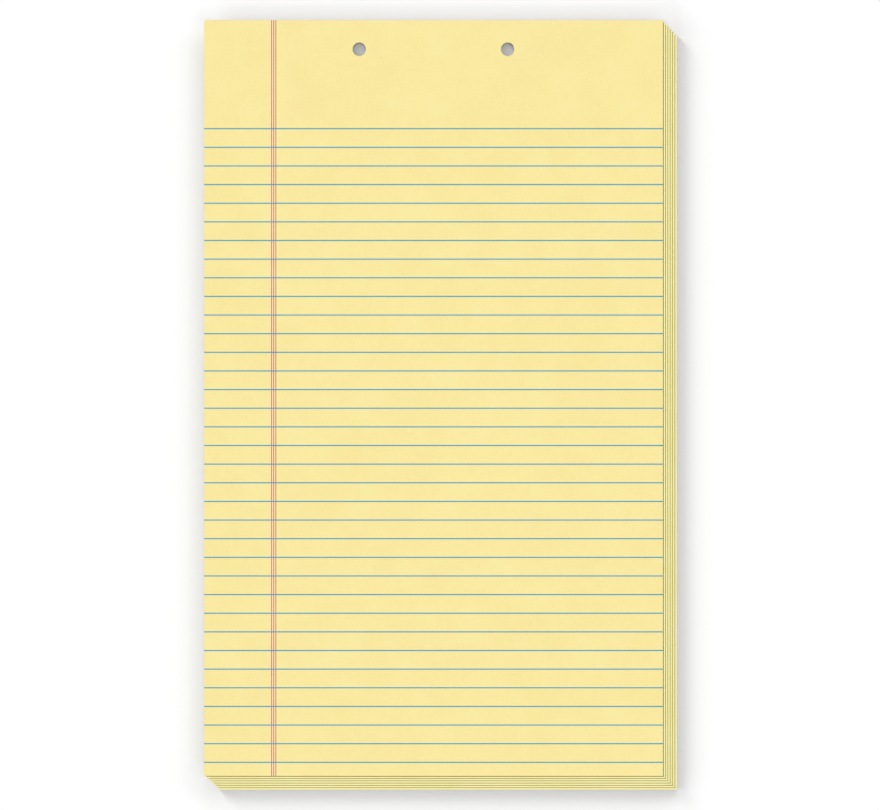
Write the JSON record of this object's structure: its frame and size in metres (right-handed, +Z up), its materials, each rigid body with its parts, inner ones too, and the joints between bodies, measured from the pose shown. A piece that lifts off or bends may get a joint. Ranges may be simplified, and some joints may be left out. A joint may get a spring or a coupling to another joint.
{
  "type": "writing pad",
  "caption": "Ruled yellow writing pad with a margin, punched holes at its glued head and a stiff chipboard back, its sheets leaning in steps.",
  "frame": {"origin": "centre of the pad's outline seen from above, on the face that it lies on", "axes": "+X to the right of the written page, +Y towards the glued head, +Z up from the back to the top sheet"},
  "size_m": [0.2226, 0.3626, 0.0063],
  "materials": {
    "canary_paper": "uncoated, matt",
    "grey_chipboard": "uncoated recycled board, matt",
    "padding_glue": "dried padding glue, satin",
    "rule_blue": "printed ink, matt",
    "margin_red": "printed ink, matt"
  },
  "bodies": {
    "root": {"page_block": "canary_paper", "backing_board": "grey_chipboard", "binding_glue": "padding_glue", "blue_ruling": "rule_blue", "red_margin": "margin_red"}
  },
  "joints": []
}
